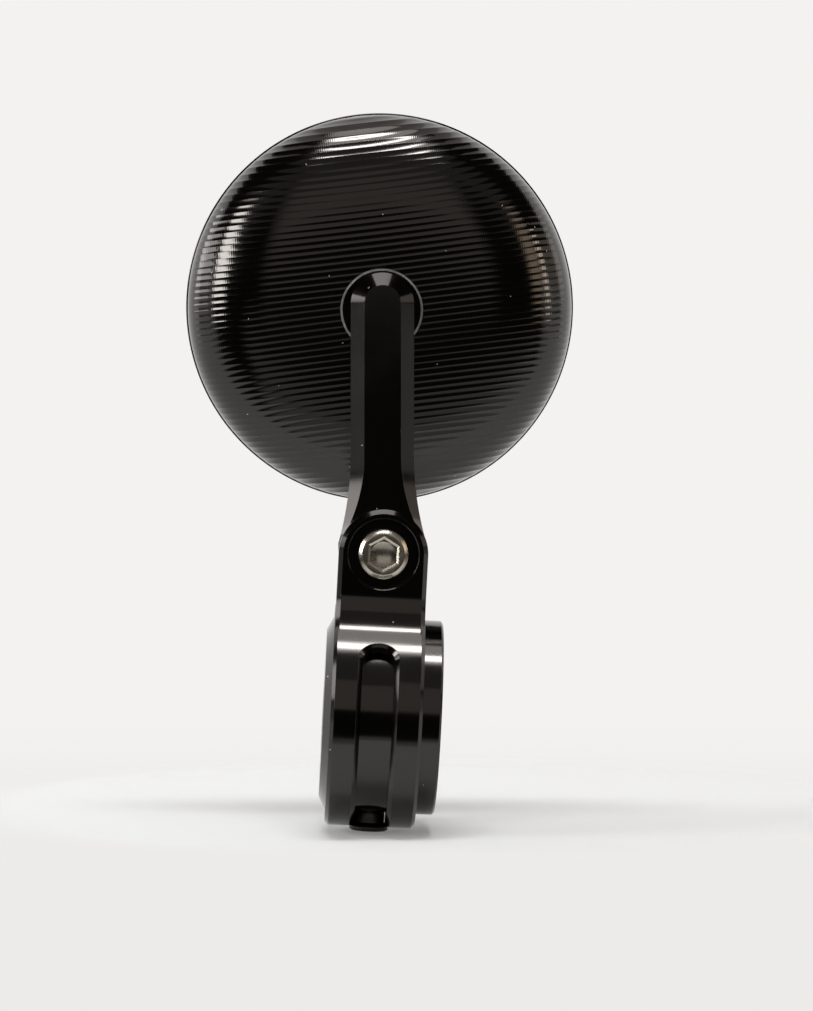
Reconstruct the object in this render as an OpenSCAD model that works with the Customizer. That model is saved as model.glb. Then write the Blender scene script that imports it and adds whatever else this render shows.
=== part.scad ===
/* [Mirror head] */
// Outer diameter of the mirror head at its rim
head_d = 82.4; // [77:0.1:100]
// Depth of the domed back, from its apex to the rim band
dome_h = 17.5; // [16.5:0.5:26]
// How square the dome's shoulder is (2 is an ellipse)
shoulder = 3.5; // [2.6:0.1:4.5]
// Thickness of the housing wall
wall = 2.6; // [1.8:0.1:3.4]
// Height of the smooth rim band
rim_h = 3.9; // [3.4:0.1:6]
// Spacing of the milled rows on the back
row_pitch = 1.3; // [1.2:0.1:2.6]
// Radius of the ball-nosed cutter that leaves a trough along each row
cutter_r = 5; // [3:0.5:12]
// Radius of the recess round the ball stud
recess_r = 8.1; // [7.6:0.1:10]
// Depth of that recess
recess_depth = 2.9; // [2.4:0.1:3.2]
// Chamfer at the mouth of the recess
recess_edge = 0.4; // [0.2:0.1:0.8]
// Thickness of the mirror glass
glass_t = 2; // [1.5:0.1:3]
// Radius of the glass's convex face
glass_curve = 1000; // [600:50:3000]
// Thickness of the adhesive pad behind the glass
pad_t = 0.8; // [0.4:0.1:1.2]
// Width of the housing wall round the glass
bezel_w = 3.1; // [2.6:0.1:5]

/* [Ball joint] */
// Diameter of the ball
ball_d = 10; // [9:0.5:10.5]
// Thickness of the liner between ball and socket
liner_t = 0.85; // [0.6:0.05:1]
// Length of the liner along the stud
liner_len = 6.2; // [5:0.2:6.6]
// Diameter of the stud's neck behind the ball
stud_neck_d = 5.2; // [4.4:0.1:5.4]
// Distance from the arm's back face to the ball's centre
stud_len = 11.6; // [11.4:0.1:14]
// Width across the flats of the stud's hexagon
stud_hex = 8; // [7:0.5:9]
// Thickness of the stud's hexagon
stud_hex_t = 2.6; // [2:0.1:2.8]
// Diameter of the stud's thread in the arm
stud_thread_d = 6; // [5:0.5:7]
// Length of thread in the arm
stud_thread_len = 5; // [3.5:0.1:5.4]
// Diameter of the cup that presses on the ball
cup_d = 16; // [14.6:0.1:16.4]
// Thickness of the cup over the ball
cup_t = 1.2; // [0.8:0.1:2]
// Height of the spring washer behind the cup
cup_spring_h = 0.9; // [0.7:0.1:1.4]
// Diameter of the retaining plate
plate_d = 26; // [25:0.5:32]
// Thickness of the retaining plate
plate_t = 1.5; // [1.4:0.1:2.2]
// Diameter of the three plate screws
plate_screw_d = 2.5; // [2:0.1:2.6]
// Length of the plate screws
plate_screw_len = 6; // [4:0.5:7]
// Tilt of the head that shows its back a little from above
head_tilt = 5; // [0:1:8]
// Roll of the milled rows about the head's own axis
head_roll = 6.8; // [-90:0.1:90]

/* [Arm] */
// Distance from the pivot to the ball
arm_len = 51; // [48:1:80]
// Width of the arm's straight part
arm_w = 13; // [12:0.5:15]
// Thickness of the arm
arm_t = 6.8; // [6.2:0.1:8]
// Width of the flat front face between the chamfers
arm_flat_w = 7.45; // [6.4:0.05:8.4]
// Height above the pivot where the sides begin to flare
flare_from = 20; // [17:0.5:26]
// Height above the pivot where the sides reach full width
flare_to = 2.1; // [1:0.1:4]
// Chamfer left on the front edge beside the pivot
eye_edge = 0.8; // [0.4:0.1:1.4]
// Lean of the folded-out arm towards the outer end of the bar
arm_lean = 2.9; // [0:0.1:8]

/* [Pivot] */
// Diameter of the pivot screw
pivot_d = 6; // [5:0.5:6]
// Diameter of the pivot screw's head
pivot_head_d = 10; // [9:0.5:11]
// Height of the pivot screw's head
pivot_head_h = 6; // [5:0.5:7]
// Width across the flats of its hexagon socket
pivot_socket = 5; // [4:0.5:6]
// Depth of its hexagon socket
pivot_socket_depth = 3.2; // [2:0.1:4]
// Diameter of the counterbore round the head
counterbore_d = 14.1; // [12:0.1:15.5]
// How far the head lies below the neck's face
head_sink = 0.3; // [0:0.1:1]
// Wall of the plain bush in the arm's eye
bush_wall = 1; // [0.8:0.1:1.4]
// Outer diameter of the two friction washers
friction_d = 16.6; // [13:0.2:17.4]
// Thickness of each friction washer
friction_t = 0.5; // [0.3:0.1:1]
// Thickness of the plain washer behind the arm
washer_t = 1.6; // [1:0.1:2.4]
// Diameter of that washer and of the disc spring
washer_d = 12.5; // [12:0.1:15]
// Height of the disc spring
spring_h = 1; // [0.9:0.1:1.6]
// Width across the flats of the lock nut
nut_flats = 10; // [9:0.5:11]
// Height of the lock nut
nut_h = 6; // [5:0.5:8]

/* [Clamp bracket] */
// Thickness of the clamp ring's wall
ring_wall = 2.9; // [2.4:0.1:5]
// Width of the clamp ring along the bar
ring_w = 18.2; // [18:0.1:22]
// Chamfer on the ring's two edges
ring_edge = 0.7; // [0.4:0.1:1.2]
// Width of the neck
neck_w = 18; // [17.4:0.1:18.2]
// Thickness of the neck's plate
neck_t = 9.5; // [8.8:0.1:10.5]
// Distance of the neck's front face in front of the ring's axis
neck_front = 11.5; // [10.5:0.1:14]
// Chamfer on the neck's front edges
neck_edge = 0.9; // [0.4:0.1:1.2]
// Radius of the fillet where the neck meets the ring
neck_fillet = 11; // [6:0.5:13]
// Gap between the arm's eye and the ring
eye_gap = 1.25; // [0.8:0.05:4]
// Width of the slot between its straight walls
slot_w = 6.4; // [6:0.1:7.4]
// Chamfer along the slot
slot_edge = 0.9; // [0.6:0.1:1.2]
// Height angle of the slot's front end, seen from the ring's axis
slot_start = 33; // [15:1:35]
// Arc of the slot from its front end, down and round to the back
slot_arc = 178; // [140:1:200]

/* [Bar end insert] */
// Diameter of the insert inside the clamp ring
insert_d = 39.6; // [36:0.1:40]
// Length of the insert that stands out on the inner side
insert_inner = 3.9; // [2:0.1:12]
// Length of its cone on the outer side
insert_cone = 1.4; // [1:0.1:4]
// Diameter at the small end of the cone
insert_nose_d = 34; // [26:0.5:36]
// Bore for the handlebar bolt
bar_bore_d = 8.4; // [6.4:0.1:10.4]
// Diameter of the counterbore for the bolt's head
bar_counterbore_d = 14.6; // [12:0.2:18]
// Depth of that counterbore
bar_counterbore_depth = 9; // [5:0.5:11]
// Diameter of the clamp screw in the slot
clamp_screw_d = 5; // [4:0.5:5.4]
// Length of the clamp screw
clamp_screw_len = 12; // [9:0.5:13]
// How far the clamp screw's head stands proud of the ring
clamp_screw_proud = 0.8; // [0.2:0.1:1.5]
// Angle of the clamp screw behind the ring's lowest point
clamp_screw_back = 0; // [0:1:45]

/* [Fits] */
// Radial clearance of parts that turn on each other
run_fit = 0.05; // [0.03:0.01:0.1]
// Radial clearance of parts that stay together
set_fit = 0.02; // [0.01:0.01:0.05]
// Radial clearance of screws in plain holes
hole_fit = 0.2; // [0.1:0.05:0.4]
// Clearance between the glass and the housing
glass_fit = 0.1; // [0.05:0.05:0.3]

/* [Hidden] */
$fn = 96;

anodised = "#17171a";
stainless = "#b9b4a8";
zinc = "#9a9ca0";
nylon = "#e4e0d4";
bronze = "#a9803f";
black_oxide = "#262422";
slack = 1;

// The clamp ring's bore runs on the insert
ring_bore_d = insert_d + 2 * run_fit;
ring_d = ring_bore_d + 2 * ring_wall;
clamp_screw_angle = -90 - clamp_screw_back;

// Heights and depths along the pivot's axis; the neck's front is foremost
pivot_z = ring_d / 2 + eye_gap + neck_w / 2;
neck_back = -neck_front + neck_t;
arm_front = neck_back + friction_t;
arm_back = arm_front + arm_t;
washer_front = arm_back + friction_t;
spring_front = washer_front + washer_t;
nut_front = spring_front + spring_h;
screw_head_front = -neck_front + head_sink;
screw_head_back = screw_head_front + pivot_head_h;
ball_y = arm_back + stud_len;

// The head's own frame has its origin at the ball's centre
ball_r = ball_d / 2;
liner_r = ball_r + run_fit + liner_t;
socket_r = liner_r + run_fit;
mill_r = head_d / 2 - 0.3;
recess_floor = -socket_r + 0.35;
apex_y = recess_floor - recess_depth;
rim_front = apex_y + dome_h;
rim_back = rim_front + rim_h;
cup_front = 0.6;
cup_back = socket_r + cup_t;
plate_front = cup_back + cup_spring_h;
plate_back = plate_front + plate_t;
pad_front = plate_back + 0.4;
glass_front = pad_front + pad_t;
glass_r = head_d / 2 - bezel_w;
hub_r = plate_d / 2 + 0.2;
pocket_r = glass_r - 2.4;
plate_screw_ring = (cup_d / 2 + hub_r) / 2;
neck_hole_r = 4.7;
mouth_r = 4.2;

// Milled rows: half rows on each side of the middle, and steps along each row
row_count = floor(2 * (mill_r - 0.25) / row_pitch) + 1;
row_cols = 24;
deepest_trough = 0.35;

// Height of the domed back above the rim band, its slope, and the hollow's height
function dome(r) = dome_h * sqrt(max(0, 1 - pow(min(1, r / mill_r), shoulder)));
function dome_slope(r) = (dome(r - 0.05) - dome(r + 0.05)) / 0.1;
function inner_dome(r) =
    (dome_h - wall) * sqrt(max(0, 1 - pow(min(1, r / (mill_r - wall)), shoulder)));

// Radius of an arc that leaves a straight side and reaches out by w over a height h
function flare_radius(h, w) = (h * h + w * w) / (2 * w);

// A solid of revolution about the Y axis, from points of radius and depth
module turned_y(points) {
    rotate([-90, 0, 0]) rotate_extrude() polygon(points);
}

module along_y(front, back, r) {
    translate([0, front, 0]) rotate([-90, 0, 0]) cylinder(r = r, h = back - front);
}

module cone_y(front, back, r_front, r_back) {
    translate([0, front, 0]) rotate([-90, 0, 0])
        cylinder(r1 = r_front, r2 = r_back, h = back - front);
}

// A hexagonal prism along Y with two corners upright
module hex_y(front, back, flats) {
    translate([0, front, 0]) rotate([-90, 0, 0]) rotate([0, 0, 30])
        cylinder(d = flats / cos(30), h = back - front, $fn = 6);
}

module ring_y(front, back, r_out, r_in) {
    difference() {
        along_y(front, back, r_out);
        along_y(front - slack, back + slack, r_in);
    }
}

// A disc spring, a shallow cone of the given height
module disc_spring_y(front, height, thickness, r_out, r_in) {
    turned_y([
        [r_in, front], [r_in, front + thickness],
        [r_out, front + height], [r_out, front + height - thickness]
    ]);
}

// Places the arm's frame: its origin is the pivot and it leans as set
module in_arm() {
    translate([0, 0, pivot_z]) rotate([0, -arm_lean, 0]) children();
}

// Places the head's frame: its origin is the ball's centre
module in_joint() {
    in_arm() translate([0, ball_y, arm_len]) rotate([head_tilt, 0, 0]) children();
}

module in_head() {
    in_joint() rotate([0, -head_roll, 0]) children();
}

// The milled back: straight rows across the dome, each the trough of the cutter
function row_z(k) =
    let (side = k - row_count)
    abs(side) == row_count ? sign(side) * (mill_r - 0.05) : side * row_pitch / 2;
function trough(k, slope_z) =
    (k - row_count) % 2 == 0 || abs(k - row_count) == row_count ? 0 : min(deepest_trough,
        row_pitch * row_pitch / 8 * (1 + slope_z * slope_z) / cutter_r);
function row_point(k, j) =
    let (z = row_z(k))
    let (x = sqrt(mill_r * mill_r - z * z) * sin(-90 + 180 * j / row_cols))
    let (r = max(0.01, norm([x, z])))
    let (slope = min(6, dome_slope(min(r, mill_r - 0.05))))
    let (cut = trough(k, slope * z / r) / sqrt(1 + slope * slope))
    let (scale_r = 1 - cut * slope / r)
    [x * scale_r, rim_front - dome(r) + cut, z * scale_r];

module milled_back() {
    rows = 2 * row_count;
    cols = row_cols;
    base_y = rim_front + 0.8;
    surface = [for (k = [0:rows]) for (j = [0:cols]) row_point(k, j)];
    rim_index = concat(
        [for (j = [0:cols]) j],
        [for (k = [1:rows]) k * (cols + 1) + cols],
        [for (j = [1:cols]) rows * (cols + 1) + cols - j],
        [for (k = [1:rows - 1]) (rows - k) * (cols + 1)]
    );
    n = len(rim_index);
    first = len(surface);
    base = [for (i = rim_index) [surface[i][0], base_y, surface[i][2]]];
    faces = concat(
        [for (k = [0:rows - 1]) for (j = [0:cols - 1]) for (half = [0, 1])
            let (a = k * (cols + 1) + j, b = a + 1, c = b + cols + 1, d = a + cols + 1)
            half == 0 ? [a, c, b] : [a, d, c]],
        [for (i = [0:n - 1]) for (half = [0, 1])
            let (m = (i + 1) % n)
            half == 0 ? [rim_index[i], rim_index[m], first + m]
                : [rim_index[i], first + m, first + i]],
        [[for (i = [0:n - 1]) first + n - 1 - i]]
    );
    polyhedron(concat(surface, base), faces);
}

// The smooth band round the rim laps a little over the ends of the rows
module rim_band() {
    bevel = 0.4;
    lap = 0.15;
    front = rim_front - lap;
    turned_y([
        [0, front], [head_d / 2 - lap, front], [head_d / 2, front + lap],
        [head_d / 2, rim_back - bevel], [head_d / 2 - bevel, rim_back], [0, rim_back]
    ]);
}

// The hollow between the hub and the outer wall, open towards the glass
module housing_hollow() {
    steps = 14;
    turned_y(concat(
        [for (i = [0:steps])
            let (r = hub_r + (pocket_r - hub_r) * i / steps)
            [r, rim_front - inner_dome(r)]],
        [[pocket_r, pad_front + slack], [hub_r, pad_front + slack]]
    ));
}

module housing() {
    color(anodised) in_head() difference() {
        union() {
            milled_back();
            rim_band();
        }
        housing_hollow();
        along_y(pad_front, rim_back + slack, glass_r);
        along_y(plate_front, pad_front + slack, hub_r + 0.1);
        along_y(0, plate_front + slack, cup_d / 2 + run_fit);
        sphere(r = socket_r);
        along_y(recess_floor - slack, 0, mouth_r);
        cone_y(recess_floor - 0.01, -mouth_r, neck_hole_r, mouth_r);
        along_y(apex_y - slack, recess_floor, recess_r);
        cone_y(apex_y - 0.2, apex_y + recess_edge, recess_r + recess_edge + 0.2, recess_r);
        plate_screw_places()
            along_y(plate_back - plate_screw_len - 0.5, plate_front + slack,
                plate_screw_d / 2 + set_fit);
    }
}

module plate_screw_places() {
    for (i = [0:2]) rotate([0, 120 * i, 0]) translate([0, 0, plate_screw_ring]) children();
}

module countersink() {
    head_r = plate_screw_d * 0.94;
    cone_y(plate_back - head_r + plate_screw_d / 2 - 0.1, plate_back + 0.01,
        plate_screw_d / 2 + hole_fit / 2, head_r + 0.15);
}

// The glass lies in the rim, with its convex face outwards
module mirror_glass() {
    r = glass_r - glass_fit;
    steps = 8;
    sag = glass_curve - sqrt(glass_curve * glass_curve - r * r);
    color("#c8d2d8") in_head() turned_y(concat(
        [[0, glass_front], [r, glass_front]],
        [for (i = [steps:-1:0])
            let (x = r * i / steps)
            [x, glass_front + glass_t - sag
                + sqrt(glass_curve * glass_curve - x * x) - (glass_curve - sag)]]
    ));
}

module glass_pad() {
    color("#3a3a3a") in_head() along_y(pad_front, glass_front, glass_r - 3 * glass_fit);
}

module retaining_plate() {
    color(zinc) in_head() difference() {
        along_y(plate_front, plate_back, plate_d / 2);
        plate_screw_places() {
            along_y(plate_front - slack, plate_back + slack, plate_screw_d / 2 + hole_fit / 2);
            countersink();
        }
    }
}

module plate_screw(i) {
    head_r = plate_screw_d * 0.94;
    shank_r = plate_screw_d / 2;
    color(stainless) in_head() rotate([0, 120 * i, 0]) translate([0, 0, plate_screw_ring])
        difference() {
            union() {
                along_y(plate_back - plate_screw_len, plate_back - 0.1, shank_r);
                cone_y(plate_back - 0.1 - head_r + shank_r, plate_back - 0.1, shank_r, head_r);
            }
            hex_y(plate_back - 1.2, plate_back + slack, plate_screw_d * 0.6);
        }
}

module cup_spring() {
    color(stainless) in_head()
        disc_spring_y(cup_back, cup_spring_h, 0.5, cup_d / 2 - 0.4, cup_d / 4);
}

module ball_cup() {
    color(zinc) in_joint() difference() {
        along_y(cup_front, cup_back, cup_d / 2);
        sphere(r = socket_r);
    }
}

// The liner is a slit nylon ring with a spherical inside and outside
module ball_liner() {
    slit = 0.6;
    color(nylon) in_joint() difference() {
        intersection() {
            sphere(r = liner_r);
            along_y(-liner_len / 2, liner_len / 2, liner_r + slack);
        }
        sphere(r = ball_r + run_fit);
        translate([-slit / 2, -liner_r, -liner_r - slack]) cube([slit, 2 * liner_r, liner_r]);
    }
}

module ball_stud() {
    color(stainless) in_arm() translate([0, ball_y, arm_len]) {
        sphere(r = ball_r);
        along_y(-stud_len + stud_hex_t - 0.1, 0, stud_neck_d / 2);
        hex_y(-stud_len, -stud_len + stud_hex_t, stud_hex);
        along_y(-stud_len - stud_thread_len, -stud_len + 0.1, stud_thread_d / 2);
    }
}

// The arm's outline as matched points, half from the pivot's bottom up to the top's middle
function arc_points(r, cz, from, to, n) =
    [for (i = [0:n]) let (a = from + (to - from) * i / n) [r * cos(a), cz + r * sin(a)]];
function flare_points(half_w, full_w, low, high, n) =
    let (radius = flare_radius(high - low, full_w - half_w))
    [for (i = [0:n])
        let (z = low + (high - low) * i / n)
        [half_w + radius - sqrt(radius * radius - (high - z) * (high - z)), z]];
function arm_side(half_w, full_w, low) = concat(
    arc_points(full_w, 0, -90, 0, 10),
    flare_points(half_w, full_w, low, flare_from, 12),
    arc_points(half_w, arm_len, 0, 90, 12)
);
function mirrored(side) = concat(
    side, [for (i = [len(side) - 2:-1:1]) [-side[i][0], side[i][1]]]
);

module arm_body() {
    flat_low = flare_to + 0.9;
    outline = mirrored(arm_side(arm_w / 2, neck_w / 2, flare_to));
    flat = mirrored(arm_side(arm_flat_w / 2, neck_w / 2 - eye_edge, flat_low));
    chamfer_y = arm_front + (arm_w - arm_flat_w) / 2;
    n = len(outline);
    loop = [for (i = [0:n - 1]) i];
    points = concat(
        [for (p = outline) [p[0], arm_back, p[1]]],
        [for (i = [0:n - 1])
            let (reach = norm(outline[i] - flat[i]))
            [outline[i][0], min(chamfer_y, arm_front + reach), outline[i][1]]],
        [for (p = flat) [p[0], arm_front, p[1]]]
    );
    polyhedron(points, concat(
        [[for (i = loop) n - 1 - i]],
        [for (band = [0, 1]) for (i = loop) for (half = [0, 1])
            let (a = band * n + i, b = band * n + (i + 1) % n)
            half == 0 ? [a, b, b + n] : [a, b + n, a + n]],
        [[for (i = loop) 2 * n + i]]
    ));
}

module arm() {
    color(anodised) in_arm() difference() {
        arm_body();
        along_y(arm_front - slack, arm_back + slack, pivot_d / 2 + run_fit + bush_wall + set_fit);
        translate([0, 0, arm_len])
            along_y(arm_back - stud_thread_len - 0.2, arm_back + slack,
                stud_thread_d / 2 + set_fit);
    }
}

module at_pivot() {
    translate([0, 0, pivot_z]) children();
}

module pivot_bush() {
    bore_r = pivot_d / 2 + run_fit;
    color(bronze) at_pivot() ring_y(arm_front, arm_back, bore_r + bush_wall, bore_r);
}

module friction_washer(front) {
    color(nylon) at_pivot() ring_y(front, front + friction_t, friction_d / 2,
        pivot_d / 2 + run_fit + bush_wall);
}

module pivot_screw() {
    bevel = 0.5;
    head_r = pivot_head_d / 2;
    color(stainless) at_pivot() difference() {
        union() {
            turned_y([
                [0, screw_head_front], [head_r - bevel, screw_head_front],
                [head_r, screw_head_front + bevel], [head_r, screw_head_back],
                [0, screw_head_back]
            ]);
            along_y(screw_head_back - 0.1, nut_front + nut_h + 0.6, pivot_d / 2);
        }
        hex_y(screw_head_front - slack, screw_head_front + pivot_socket_depth, pivot_socket);
        cone_y(screw_head_front + pivot_socket_depth - 0.01,
            screw_head_front + pivot_socket_depth + 1, pivot_socket / 2 - 0.2, 0.1);
    }
}

module pivot_washer() {
    color(stainless) at_pivot()
        ring_y(washer_front, spring_front, washer_d / 2, pivot_d / 2 + hole_fit);
}

module disc_spring() {
    color(stainless) at_pivot()
        disc_spring_y(spring_front, spring_h, 0.6, washer_d / 2, pivot_d / 2 + hole_fit);
}

module pivot_nut() {
    hex_h = nut_h * 0.75;
    collar_r = nut_flats / 2 * 0.92;
    corner_r = nut_flats / 2 / cos(30);
    color(zinc) at_pivot() difference() {
        union() {
            intersection() {
                hex_y(nut_front, nut_front + hex_h, nut_flats);
                turned_y([
                    [0, nut_front], [nut_flats / 2, nut_front], [corner_r, nut_front + 0.35],
                    [corner_r, nut_front + hex_h - 0.35], [nut_flats / 2, nut_front + hex_h],
                    [0, nut_front + hex_h]
                ]);
            }
            turned_y([
                [0, nut_front], [collar_r, nut_front], [collar_r, nut_front + nut_h - 0.5],
                [collar_r - 0.5, nut_front + nut_h], [0, nut_front + nut_h]
            ]);
        }
        along_y(nut_front - slack, nut_front + nut_h + slack, pivot_d / 2 + set_fit);
    }
}

// A solid of revolution about the X axis, from points of radius and place along X
module turned_x(points) {
    rotate([0, 90, 0]) rotate_extrude() polygon(points);
}

module ring_blank() {
    r = ring_d / 2;
    half = ring_w / 2;
    turned_x([
        [0, -half], [r - ring_edge, -half], [r, -half + ring_edge],
        [r, half - ring_edge], [r - ring_edge, half], [0, half]
    ]);
}

// The neck: a plate with chamfered front edges and a full round top
module neck_blank() {
    half = neck_w / 2;
    root_z = neck_front * 0.8;
    translate([0, 0, root_z]) linear_extrude(pivot_z - root_z) polygon([
        [-half, neck_back], [half, neck_back], [half, neck_edge - neck_front],
        [half - neck_edge, -neck_front], [neck_edge - half, -neck_front],
        [-half, neck_edge - neck_front]
    ]);
    at_pivot() turned_y([
        [0, neck_back], [half, neck_back], [half, neck_edge - neck_front],
        [half - neck_edge, -neck_front], [0, -neck_front]
    ]);
}

// The fillet from the neck's front face to the ring, left by a cutter whose flared
// ends chamfer its two edges
module neck_root() {
    r = ring_d / 2;
    cy = -neck_front - neck_fillet;
    cz = sqrt(pow(r + neck_fillet, 2) - cy * cy);
    touch = r / (r + neck_fillet);
    half = neck_w / 2;
    flare = neck_fillet + neck_edge + slack;
    difference() {
        rotate([90, 0, 90]) translate([0, 0, -half]) linear_extrude(neck_w) polygon([
            [-neck_front, cz], [cy * touch, cz * touch],
            [1 - neck_front, cz * touch - 1], [1 - neck_front, cz]
        ]);
        translate([0, cy, cz]) turned_x([
            [0, -half - slack], [flare, -half - slack], [neck_fillet, neck_edge - half],
            [neck_fillet, half - neck_edge], [flare, half + slack], [0, half + slack]
        ]);
    }
}

// Turns what points down the Z axis to a height angle seen from the ring's axis
module at_height_angle(a) {
    rotate([90 - a, 0, 0]) children();
}

// The slot through the ring's wall, with its chamfer and its two round ends, where
// the cutter starts and stops and leaves the slot a hair wider
module slot_cut() {
    end_relief = 0.02;
    r = ring_d / 2;
    inner = insert_d / 2 - slack;
    half = slot_w / 2;
    foot = r - slot_edge;
    out = r + slack;
    flare = half + slot_edge + slack;
    profile = [
        [inner, -half], [foot, -half], [out, -flare],
        [out, flare], [foot, half], [inner, half]
    ];
    rotate([0, 90, 0]) rotate([0, 0, -90 - slot_start])
        rotate_extrude(angle = slot_arc) polygon(profile);
    for (a = [slot_start, slot_start - slot_arc]) at_height_angle(a) {
        translate([0, 0, inner]) cylinder(r = half + end_relief, h = out - inner);
        translate([0, 0, foot])
            cylinder(r1 = half + end_relief, r2 = flare + end_relief, h = out - foot);
    }
}

module clamp_bracket() {
    color(anodised) difference() {
        union() {
            ring_blank();
            neck_blank();
            neck_root();
        }
        rotate([0, 90, 0]) cylinder(d = ring_bore_d, h = ring_w + 4, center = true);
        slot_cut();
        at_pivot() {
            along_y(-neck_front - slack, neck_back + slack, pivot_d / 2 + hole_fit);
            along_y(-neck_front - slack, screw_head_back, counterbore_d / 2);
            cone_y(-neck_front - 0.01, -neck_front + 0.2,
                counterbore_d / 2 + 0.2, counterbore_d / 2);
        }
    }
}

module bar_end_insert() {
    bevel = 0.4;
    r = insert_d / 2;
    outer = -ring_w / 2;
    nose = outer - insert_cone;
    inner = ring_w / 2 + insert_inner;
    color(anodised) difference() {
        turned_x([
            [0, nose], [insert_nose_d / 2, nose], [r, outer],
            [r, inner - bevel], [r - bevel, inner], [0, inner]
        ]);
        translate([nose - slack, 0, 0]) rotate([0, 90, 0])
            cylinder(d = bar_bore_d, h = inner - nose + 2 * slack);
        translate([nose - slack, 0, 0]) rotate([0, 90, 0])
            cylinder(d = bar_counterbore_d, h = bar_counterbore_depth + slack);
        at_height_angle(clamp_screw_angle)
            translate([0, 0, ring_d / 2 - clamp_screw_len - 0.6])
            cylinder(d = clamp_screw_d + 2 * set_fit, h = clamp_screw_len);
    }
}

// The clamp screw's shoulder runs in the slot; its conical head lies in the chamfer and stands proud
module clamp_screw() {
    head_r = slot_w / 2 + slot_edge - 0.15;
    cone_h = head_r - clamp_screw_d / 2;
    top = ring_d / 2 - 0.1;
    face = top + 0.1 + clamp_screw_proud;
    shoulder = insert_d / 2 + run_fit;
    bevel = 0.3;
    color(black_oxide) at_height_angle(clamp_screw_angle) difference() {
        union() {
            translate([0, 0, top - clamp_screw_len])
                cylinder(d = clamp_screw_d, h = clamp_screw_len - 0.1);
            translate([0, 0, top - cone_h])
                cylinder(r1 = clamp_screw_d / 2, r2 = head_r, h = cone_h);
            translate([0, 0, shoulder])
                cylinder(d = slot_w - 2 * run_fit, h = top - cone_h / 2 - shoulder);
            rotate_extrude() polygon([
                [0, top - 0.1], [head_r - 0.1, top - 0.1], [head_r, top],
                [head_r, face - bevel], [head_r - bevel, face], [0, face]
            ]);
        }
        translate([0, 0, face - 2.4]) cylinder(d = 3 / cos(30), h = 2.4 + slack, $fn = 6);
    }
}

housing();
mirror_glass();
glass_pad();
retaining_plate();
plate_screw(0);  // plate_screw_1
plate_screw(1);  // plate_screw_2
plate_screw(2);  // plate_screw_3
cup_spring();
ball_cup();
ball_liner();
ball_stud();
arm();
pivot_bush();
pivot_screw();
friction_washer(neck_back);  // front_friction_washer
friction_washer(arm_back);  // rear_friction_washer
pivot_washer();
disc_spring();
pivot_nut();
clamp_bracket();
bar_end_insert();
clamp_screw();
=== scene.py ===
"""Dresses the packed bar end mirror: fine meshes, finishes, studio and camera."""

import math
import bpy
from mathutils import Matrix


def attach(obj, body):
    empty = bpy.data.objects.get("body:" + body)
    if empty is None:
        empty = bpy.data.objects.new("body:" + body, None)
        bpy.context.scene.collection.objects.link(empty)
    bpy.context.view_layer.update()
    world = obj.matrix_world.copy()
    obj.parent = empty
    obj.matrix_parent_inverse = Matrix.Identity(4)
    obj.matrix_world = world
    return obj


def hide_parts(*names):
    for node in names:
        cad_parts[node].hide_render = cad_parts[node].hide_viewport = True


bl_info = {
    "name": "Bar end mirror",
    "version": (1, 0, 0),
    "blender": (4, 5, 0),
    "location": "View3D > Sidebar > Bar end mirror",
    "description": "Builds the head, arm, clamp, screws, finishes and studio of a bar end mirror",
    "category": "Object",
}

import bpy
import numpy as np
from bpy.props import FloatProperty, FloatVectorProperty, IntProperty, PointerProperty
from mathutils import Matrix, Vector

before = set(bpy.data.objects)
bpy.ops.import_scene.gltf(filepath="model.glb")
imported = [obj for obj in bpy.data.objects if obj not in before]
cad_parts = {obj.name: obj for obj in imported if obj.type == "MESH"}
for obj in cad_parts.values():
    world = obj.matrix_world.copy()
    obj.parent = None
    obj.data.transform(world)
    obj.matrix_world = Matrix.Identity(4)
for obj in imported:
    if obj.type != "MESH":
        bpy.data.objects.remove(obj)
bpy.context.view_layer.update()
MM = 0.001

# The frames of the arm, the ball and the head, which lie as the packed model has them
PIVOT = Vector((0, 0, 33 * MM))
ARM_LEAN, HEAD_TILT, HEAD_ROLL = (math.radians(a) for a in (-2.9, 5, -6.8))
ARM_LENGTH = 51 * MM
BALL_Y = 16.9 * MM
ARM = Matrix.Translation(PIVOT) @ Matrix.Rotation(ARM_LEAN, 4, "Y")
BALL = ARM @ Matrix.Translation((0, BALL_Y, ARM_LENGTH))
HEAD = BALL @ Matrix.Rotation(HEAD_TILT, 4, "X") @ Matrix.Rotation(HEAD_ROLL, 4, "Y")

# Depths that two pieces share at the lap of neck and arm
NECK_FRONT, NECK_BACK = -11.5 * MM, -2 * MM
SCREW_SEAT = -5.2 * MM


def linear(code):
    """The linear colour, with alpha, of an sRGB hex value."""
    parts = [int(code[i:i + 2], 16) / 255 for i in (1, 3, 5)]
    return [c / 12.92 if c <= 0.04045 else ((c + 0.055) / 1.055) ** 2.4 for c in parts] + [1.0]


def length(name, description, mm, low=0.0, high=500.0):
    """A length property that is given in millimetres and held in metres."""
    return FloatProperty(name=name, description=description, default=mm * MM, min=low * MM,
                         max=high * MM, subtype="DISTANCE", unit="LENGTH", precision=5)


def colour(name, description, code):
    """A colour property that is given as an sRGB hex value."""
    return FloatVectorProperty(name=name, description=description, default=linear(code),
                               size=4, min=0, max=1, subtype="COLOR")


def share(name, description, value, high=1.0):
    """A plain number from zero up."""
    return FloatProperty(name=name, description=description, default=value, min=0, max=high)


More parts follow.
